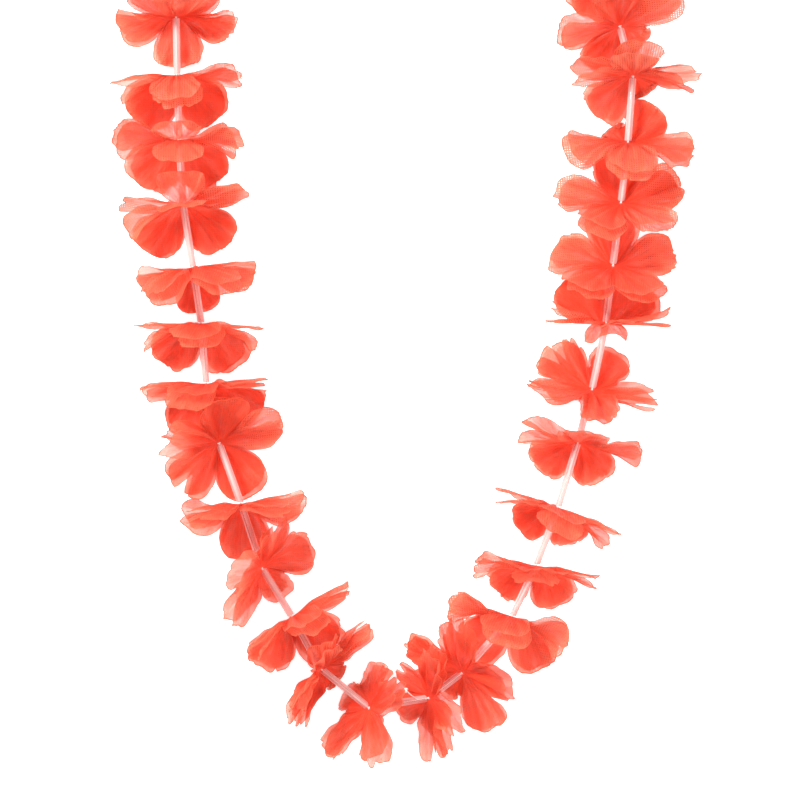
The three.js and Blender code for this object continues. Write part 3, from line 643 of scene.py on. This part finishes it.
# ---- Materials ----
def petal_cloth_material():
    """Thin plain-woven polyester, dyed and heat pressed.

    Matt, with a faint sheen where it turns away.  Light comes through the threads and between
    them, so one layer over the white floor looks pale and two layers look deep red.
    """
    colours = bpy.context.scene.lei_colours
    material, tree = new_material("woven_polyester")

    # The weave lies along the flat cut: 1 in the middle of a gap, down to -1 on a thread.
    place = add_node(tree, "Attribute", {"attribute_name": "cut_mm"})
    axes = add_node(tree, "SeparateXYZ", inputs={0: place.outputs["Vector"]})
    waves = []
    for axis in (0, 1):
        scaled = add_node(tree, "Math", {"operation": "MULTIPLY"},
                          {0: axes.outputs[axis], 1: 2 * math.pi / WEAVE_PITCH})
        waves.append(add_node(tree, "Math", {"operation": "COSINE"}, {0: scaled}))
    weave = add_node(tree, "Math", {"operation": "MINIMUM"}, {0: waves[0], 1: waves[1]})

    # The share of the sheet that is open grows where the cloth is thin and varies with the pleats,
    # and that variation also paints darker and paler radial streaks of shade and light along the
    # creases.
    # Single threads stand out of it where the cloth is stretched, and the melted rim is denser.
    thin_and_painted_highlight = add_node(tree, "Attribute", {"attribute_name": "thin"})
    opened = add_node(tree, "MapRange", inputs={
        "Value": thin_and_painted_highlight.outputs["Fac"],
        "From Min": 0.0, "From Max": 1.5, "To Min": 0.3, "To Max": 0.78})
    on_threads = add_node(tree, "MapRange", inputs={
        "Value": thin_and_painted_highlight.outputs["Fac"],
        "From Min": 0.3, "From Max": 1.0, "To Min": 0.97, "To Max": 0.2})
    between = add_node(tree, "MapRange", inputs={
        "Value": weave, "From Min": -0.7, "From Max": 0.9, "To Min": on_threads, "To Max": 1.15})
    fan = add_node(tree, "Attribute", {"attribute_name": "fan"})
    pleats = add_node(tree, "TexNoise", inputs={
        "Vector": fan.outputs["Vector"], "Scale": 1.0, "Detail": 4.0, "Roughness": 0.6})
    pleat_opening_and_painted_streaks = add_node(tree, "MapRange", inputs={
        "Value": pleats.outputs["Fac"],
        "From Min": 0.35, "From Max": 0.65, "To Min": 0.66, "To Max": 1.26})
    spread = add_node(tree, "Math", {"operation": "MULTIPLY"}, {0: pleat_opening_and_painted_streaks, 1: opened})
    woven = add_node(tree, "Math", {"operation": "MULTIPLY"}, {0: between, 1: spread})
    sealed = add_node(tree, "Attribute", {"attribute_name": "sealed"})
    unmelted = add_node(tree, "MapRange", inputs={
        "Value": sealed.outputs["Fac"],
        "From Min": 0.0, "From Max": 1.0, "To Min": 1.0, "To Max": 0.3})
    open_share = add_node(tree, "Math", {"operation": "MULTIPLY"}, {0: woven, 1: unmelted})

    # The dye is paler where the cloth is thin, and this paler colour is also the painted highlight of
    # petals and creases that catch the light.  It is uneven in patches of about 6 mm.
    pale_for_thin_and_highlight = add_node(tree, "MapRange", inputs={
        "Value": thin_and_painted_highlight.outputs["Fac"],
        "From Min": 0.1, "From Max": 1.3, "To Min": 0.0, "To Max": 0.9})
    paler = add_node(tree, "Mix", {"data_type": "RGBA"},
                     {0: pale_for_thin_and_highlight, 6: tuple(colours.cloth), 7: tuple(colours.cloth_thin_and_highlight)})
    patches = add_node(tree, "TexNoise", inputs={
        "Vector": place.outputs["Vector"], "Scale": 0.16, "Detail": 3.0, "Roughness": 0.55})
    tone = add_node(tree, "MapRange", inputs={
        "Value": patches.outputs["Fac"],
        "From Min": 0.3, "From Max": 0.7, "To Min": 0.85, "To Max": 1.1})
    dyed = add_node(tree, "Mix", {"data_type": "RGBA", "blend_type": "MULTIPLY"},
                    {0: 1.0, 6: paler.outputs[2], 7: tone})

    # The relief of the pleats grows towards the rim, and that of the weave lies over it.
    fan_axes = add_node(tree, "SeparateXYZ", inputs={0: fan.outputs["Vector"]})
    pleat_height = add_node(tree, "Math", {"operation": "MULTIPLY"},
                            {0: pleats.outputs["Fac"], 1: fan_axes.outputs[1]})
    pressed = add_node(tree, "Bump", inputs={
        "Strength": 1.0, "Distance": 0.0034, "Height": pleat_height})
    relief = add_node(tree, "Bump", inputs={
        "Strength": 0.35, "Distance": 0.0001, "Height": weave, "Normal": pressed})

    front = add_node(tree, "BsdfPrincipled", inputs={
        "Base Color": dyed.outputs[2], "Roughness": 0.5, "Specular IOR Level": 0.4,
        "Sheen Weight": 0.15, "Sheen Roughness": 0.45, "Sheen Tint": linear("ffc4b4"),
        "Normal": relief})
    through = add_node(tree, "BsdfTranslucent", inputs={
        "Color": tuple(colours.cloth_lit_through), "Normal": pressed})
    cloth = add_node(tree, "MixShader", inputs={0: 0.6, 1: front, 2: through})
    gaps = add_node(tree, "BsdfTransparent")
    sheet = add_node(tree, "MixShader", inputs={0: open_share, 1: cloth, 2: gaps})
    add_node(tree, "OutputMaterial", inputs={"Surface": sheet})
    return material


def straw_material():
    """Clear polypropylene drinking straw, extruded.

    Glossy and a little milky, so it shows as a pale band that glows in the light behind it, denser at
    its sides, with the faint streaks of the die along it, which also serve as painted highlight
    lines.
    """
    colours = bpy.context.scene.lei_colours
    material, tree = new_material("clear_polypropylene")
    skin = add_node(tree, "BsdfPrincipled", inputs={
        "Base Color": tuple(colours.straw), "Roughness": 0.12, "IOR": 1.49,
        "Specular IOR Level": 0.6})
    glow = add_node(tree, "BsdfTranslucent", inputs={"Color": linear("ffe4e0")})
    milk = add_node(tree, "MixShader", inputs={0: 0.42, 1: skin, 2: glow})
    clear = add_node(tree, "BsdfTransparent", inputs={"Color": linear("fdeeed")})
    facing = add_node(tree, "LayerWeight", inputs={"Blend": 0.35})
    milky = add_node(tree, "MapRange", inputs={
        "Value": facing.outputs["Facing"],
        "From Min": 0.0, "From Max": 1.0, "To Min": 0.34, "To Max": 0.85})
    # The streaks run along the straw, about 16 round it, so 0.7 mm apart.  They are die lines and
    # also painted highlight lines: milky bands that stand in for the reflections of the lights.
    turn = add_node(tree, "Attribute", {"attribute_name": "turn"})
    die_and_highlight_lines = add_node(tree, "TexNoise", inputs={
        "Vector": turn.outputs["Vector"], "Scale": 2.6, "Detail": 2.0})
    streaks_and_painted_highlights = add_node(tree, "MapRange", inputs={
        "Value": die_and_highlight_lines.outputs["Fac"],
        "From Min": 0.38, "From Max": 0.62, "To Min": 0.45, "To Max": 1.5})
    cover = add_node(tree, "Math", {"operation": "MULTIPLY"}, {0: milky, 1: streaks_and_painted_highlights})
    wall = add_node(tree, "MixShader", inputs={0: cover, 1: clear, 2: milk})
    add_node(tree, "OutputMaterial", inputs={"Surface": wall})
    return material


def thread_material():
    """Twisted white polyester sewing thread: matt, with the twist as fine slanted ridges."""
    colours = bpy.context.scene.lei_colours
    material, tree = new_material("sewing_thread")
    # A ridge to about 1.5 mm, coarser than the real twist, which is too fine to show.
    place = add_node(tree, "TexCoord")
    twist = add_node(
        tree, "TexWave", {"wave_type": "BANDS", "bands_direction": "DIAGONAL"},
        {"Vector": place.outputs["Object"], "Scale": 420.0, "Distortion": 1.0})
    bump = add_node(tree, "Bump", inputs={
        "Strength": 0.5, "Distance": 0.0001, "Height": twist.outputs["Fac"]})
    # The valleys between the turns of the twist are painted a darker grey-white: painted shade, where
    # the grooves fall in shadow.
    painted_valley_shade = add_node(tree, "Mix", {"data_type": "RGBA"},
                     {0: twist.outputs["Fac"], 6: linear("e6ddd6"), 7: tuple(colours.thread)})
    skin = add_node(tree, "BsdfPrincipled", inputs={
        "Base Color": painted_valley_shade.outputs[2], "Roughness": 0.7, "Normal": bump})
    add_node(tree, "OutputMaterial", inputs={"Surface": skin})
    return material


# ---- Pieces ----
def flat_cut():
    """One layer's grid, made as a ring that is extruded outwards row by row."""
    bpy.ops.object.select_all(action="DESELECT")
    bpy.ops.mesh.primitive_circle_add(vertices=PETALS * COLUMNS, radius=1.0)
    ring = bpy.context.object
    ring.name = "flat_cut"
    bpy.ops.object.mode_set(mode="EDIT")
    bpy.ops.mesh.select_all(action="SELECT")
    for row in range(ROWS):
        bpy.ops.mesh.extrude_region_move()
        scale = (row + 2) / (row + 1)
        bpy.ops.transform.resize(value=(scale, scale, 1))
    bpy.ops.object.mode_set(mode="OBJECT")
    return ring


def ring_order(cut):
    """For each vertex of the flat cut, its row from the hole and its column round the flower."""
    places = np.empty(len(cut.data.vertices) * 3)
    cut.data.vertices.foreach_get("co", places)
    places = places.reshape(-1, 3)
    row = np.rint(np.hypot(places[:, 0], places[:, 1])).astype(int) - 1
    turn = np.arctan2(places[:, 1], places[:, 0]) * PETALS * COLUMNS / (2 * math.pi)
    return row, np.rint(turn).astype(int) % (PETALS * COLUMNS)


class LEI_OT_flowers(bpy.types.Operator):
    """Cut both cloth layers of every flower and lay every petal in its place"""

    bl_idname = "lei.flowers"
    bl_label = "Cloth flowers"

    def execute(self, context):
        sizes = context.scene.lei_sizes
        heights = (sizes.crease_height / MM, sizes.flutter / MM)
        cloth = petal_cloth_material()
        cut = flat_cut()
        row, column = ring_order(cut)
        for flower in range(len(ROWS_OF_FLOWERS)):
            for layer, layer_name in enumerate(("front", "back")):
                places, flat = layer_places(flower, layer, heights)
                piece = copy_piece(cut, f"flower_{flower + 1:02d}_{layer_name}_petals")
                piece.data.vertices.foreach_set("co", places[row, column].ravel())
                mark_points(piece, "cut_mm", np.column_stack([
                    flat[row, column], np.full(len(row), flower * 2 + layer)]))
                mark_points(piece, "fan", np.column_stack([
                    PLEATS_ROUND * (2 * column / COLUMNS),
                    PLEATS_OUTWARDS * np.hypot(*flat[row, column].T),
                    np.full(len(row), PLEATS_FLOWER_STEP * flower + PLEATS_LAYER_STEP * layer)]))
                mark_points(piece, "thin", thin_and_highlight_share(flower, layer)[row, column])
                mark_points(piece, "sealed", (row >= ROWS - 1).astype(float))
                piece.data.materials.append(cloth)
                solidify = piece.modifiers.new("thickness", "SOLIDIFY")
                solidify.thickness = sizes.cloth_thickness
                solidify.offset = 0
                apply_modifiers(piece)
                bpy.ops.object.mode_set(mode="EDIT")
                bpy.ops.mesh.select_all(action="SELECT")
                bpy.ops.mesh.normals_make_consistent(inside=False)
                bpy.ops.object.mode_set(mode="OBJECT")
                bpy.ops.object.shade_smooth_by_angle(angle=math.radians(50))
                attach(piece, "root")
                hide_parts(f"flower_{flower + 1:02d}")
        bpy.data.objects.remove(cut, do_unlink=True)
        return {"FINISHED"}


def straw_end(index, other, across, above):
    """How far from a hub each point of a straw's end stops, so that it lies along the cloth.

    other is the hub that the straw runs to.  across and above place the points from the thread,
    square to it.
    """
    _, faces, lean, _, _ = ROWS_OF_FLOWERS[index]
    run = (other - HUBS[index]).normalized()
    turn, tip = math.radians(faces), math.radians(lean)
    ahead = run.x * math.cos(turn) + run.y * math.sin(turn)
    aside = -run.y * math.cos(turn) + run.x * math.sin(turn)
    way = 1 if ahead > 0 else -1
    radius = bend_radius(lean)
    turned = np.arcsin(np.clip(math.sin(tip) - np.minimum(above, 0) / radius, 0, 1))
    cloth = np.where(above < 0, radius * (math.cos(tip) - np.cos(turned)), -above * math.tan(tip))
    proud = REST_HEIGHT / np.cos(turned) + STRAW_END_CLEARANCE
    return np.maximum(
        (proud + way * cloth - way * aside * across) / abs(ahead), STRAW_END_LEAST)


class LEI_OT_straws(bpy.types.Operator):
    """Make one length of clear straw and set a cut of it between each two flowers"""

    bl_idname = "lei.straws"
    bl_label = "Clear straws"

    def execute(self, context):
        plastic = straw_material()
        bpy.ops.object.select_all(action="DESELECT")
        bpy.ops.mesh.primitive_cylinder_add(
            vertices=32, radius=STRAW_OUTER_RADIUS * MM, depth=MM, end_fill_type="NOTHING")
        model = context.object
        model.name = "straw_model"
        wall = model.modifiers.new("wall", "SOLIDIFY")
        wall.thickness = context.scene.lei_sizes.straw_wall
        wall.offset = -1
        bevel = model.modifiers.new("rim", "BEVEL")
        bevel.width = STRAW_RIM_BEVEL * MM
        bevel.segments = 2
        apply_modifiers(model)
        for index, hub in enumerate(HUBS):
            after = (index + 1) % len(HUBS)
            run = HUBS[after] - hub
            along = run.normalized()
            side = Vector((-along.y, along.x, 0))
            piece = copy_piece(model, f"straw_{index + 1:02d}")
            places = np.empty(len(piece.data.vertices) * 3)
            piece.data.vertices.foreach_get("co", places)
            across, up, ends = places.reshape(-1, 3).T / MM
            round_turn = np.arctan2(up, across)
            height = up - STRAW_DROP
            from_start = straw_end(index, HUBS[after], across, height)
            from_end = straw_end(after, hub, -across, height)
            # The model is 1 mm long, from -0.5 to 0.5, and its ends go to the two flowers.
            far = np.where(ends < 0, from_start + (ends + 0.5), run.length - from_end + (ends - 0.5))
            places = (np.array(hub) + far[:, None] * np.array(along)
                      + across[:, None] * np.array(side) + height[:, None] * np.array((0, 0, 1)))
            piece.data.vertices.foreach_set("co", (places * MM).ravel())
            mark_points(piece, "turn", np.column_stack([
                np.cos(round_turn), np.sin(round_turn),
                np.full(len(across), DIE_AND_HIGHLIGHT_LINES_STEP * index)]))
            piece.data.materials.append(plastic)
            make_active(piece)
            bpy.ops.object.shade_smooth_by_angle(angle=math.radians(40))
            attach(piece, "root")
            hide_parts("strung_straws_and_thread")
        bpy.data.objects.remove(model, do_unlink=True)
        return {"FINISHED"}


def tube(name, points, radius, closed):
    """A round tube through points in millimetres, made from a curve with a bevel."""
    curve = bpy.data.curves.new(name, "CURVE")
    curve.dimensions = "3D"
    curve.bevel_depth = radius * MM
    curve.bevel_resolution = 3
    curve.use_fill_caps = not closed
    spline = curve.splines.new("POLY")
    spline.points.add(len(points) - 1)
    for point, place in zip(spline.points, points):
        point.co = (*(Vector(place) * MM), 1)
    spline.use_cyclic_u = closed
    piece = bpy.data.objects.new(name, curve)
    bpy.context.collection.objects.link(piece)
    make_active(piece)
    bpy.ops.object.convert(target="MESH")
    return bpy.context.object


class LEI_OT_thread(bpy.types.Operator):
    """Run the thread through every flower and tie its ends in a small knot"""

    bl_idname = "lei.thread"
    bl_label = "Thread and knot"

    def execute(self, context):
        white_thread = thread_material()
        hub = HUBS[KNOT_BESIDE]
        knot_at = hub + KNOT_AT
        pieces = [tube("thread", HUBS, THREAD_RADIUS, True)]
        turns = np.linspace(0, 2 * math.pi, KNOT_POINTS, endpoint=False)
        knot = [knot_at + Vector((KNOT_SPREAD * (math.sin(t) + 2 * math.sin(2 * t)),
                                  KNOT_SPREAD * (math.cos(t) - 2 * math.cos(2 * t)),
                                  -KNOT_DEPTH * math.sin(3 * t))) for t in turns]
        pieces.append(tube("knot_turns", knot, KNOT_STRAND_RADIUS, True))
        for name, path in (("tied_end", TIED_END), ("cut_end", CUT_END)):
            pieces.append(tube(name, [hub + Vector(p) for p in path], END_RADIUS, False))
        bpy.ops.object.select_all(action="DESELECT")
        for piece in pieces[1:]:
            piece.select_set(True)
        context.view_layer.objects.active = pieces[1]
        bpy.ops.object.join()
        knot_piece = context.object
        knot_piece.name = knot_piece.data.name = "knot"
        for piece in (pieces[0], knot_piece):
            piece.data.materials.clear()
            piece.data.materials.append(white_thread)
            make_active(piece)
            bpy.ops.object.shade_smooth_by_angle(angle=math.radians(60))
            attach(piece, "root")
            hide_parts("strung_straws_and_thread")
        return {"FINISHED"}


def area_light(name, place, size, power):
    """A soft box at a place in the room, turned to the middle of what the camera takes in."""
    lamp = bpy.data.lights.new(name, "AREA")
    lamp.shape = "RECTANGLE"
    lamp.size, lamp.size_y = size
    lamp.energy = power
    light = bpy.data.objects.new(name, lamp)
    light.location = place
    light.rotation_euler = (LIGHTS_AIM - Vector(place)).to_track_quat("-Z", "Y").to_euler()
    light.visible_camera = False
    bpy.context.collection.objects.link(light)


class LEI_OT_stage(bpy.types.Operator):
    """Lay the floor and set the camera and soft lights"""

    bl_idname = "lei.stage"
    bl_label = "Stage"

    def execute(self, context):
        colours = context.scene.lei_colours
        bpy.ops.object.select_all(action="DESELECT")
        bpy.ops.mesh.primitive_plane_add(size=FLOOR_SIZE, location=(0, 0, 0))
        floor = context.object
        floor.name = "floor"
        # A white acrylic table lit from below: matt and even, and it glows through the thin cloth.
        material, tree = new_material("lit_white_acrylic")
        skin = add_node(tree, "BsdfPrincipled", inputs={
            "Base Color": tuple(colours.floor), "Roughness": 0.9, "Specular IOR Level": 0.1,
            "Emission Color": tuple(colours.floor), "Emission Strength": 0.85})
        add_node(tree, "OutputMaterial", inputs={"Surface": skin})
        floor.data.materials.append(material)

        world = bpy.data.worlds.new("studio")
        context.scene.world = world
        world.use_nodes = True
        sky = world.node_tree.nodes["Background"]
        sky.inputs["Color"].default_value = (1, 1, 1, 1)
        sky.inputs["Strength"].default_value = 0.42
        area_light("key", place=(-1.1, 0.9, 1.5), size=(0.5, 0.5), power=66)
        area_light("strip", place=(0.95, -0.45, 1.2), size=(0.2, 1.3), power=12)

        lens = bpy.data.cameras.new("camera")
        lens.sensor_width = 36
        lens.lens = lens.sensor_width * CAMERA_HEIGHT / PICTURE_WIDTH
        lens.clip_start = 0.05
        camera = bpy.data.objects.new("camera", lens)
        camera.location = (
            LOOP_SHIFT.x * MM, LOOP_SHIFT.y * MM, CAMERA_HEIGHT + STRAND_HEIGHT * MM)
        context.collection.objects.link(camera)
        context.scene.camera = camera
        context.scene.view_settings.view_transform = "Standard"
        return {"FINISHED"}


class LEI_PT_sidebar(bpy.types.Panel):
    """Settings and steps of the lei"""

    bl_label = "Flower lei"
    bl_idname = "LEI_PT_sidebar"
    bl_space_type = "VIEW_3D"
    bl_region_type = "UI"
    bl_category = "Lei"

    def draw(self, context):
        for group in (context.scene.lei_sizes, context.scene.lei_colours):
            column = self.layout.column(align=True)
            for name in group.__annotations__:
                column.prop(group, name)
        for operator in STEPS:
            self.layout.operator(operator.bl_idname)


STEPS = (LEI_OT_thread, LEI_OT_straws, LEI_OT_flowers, LEI_OT_stage)
CLASSES = (LeiSizes, LeiColours, *STEPS, LEI_PT_sidebar)


def register():
    for cls in CLASSES:
        bpy.utils.register_class(cls)
    bpy.types.Scene.lei_sizes = bpy.props.PointerProperty(type=LeiSizes)
    bpy.types.Scene.lei_colours = bpy.props.PointerProperty(type=LeiColours)


def unregister():
    del bpy.types.Scene.lei_sizes
    del bpy.types.Scene.lei_colours
    for cls in reversed(CLASSES):
        bpy.utils.unregister_class(cls)


def main():
    register()
    bpy.ops.lei.thread()
    bpy.ops.lei.straws()
    bpy.ops.lei.flowers()
    bpy.ops.lei.stage()


if __name__ == "__main__":
    main()
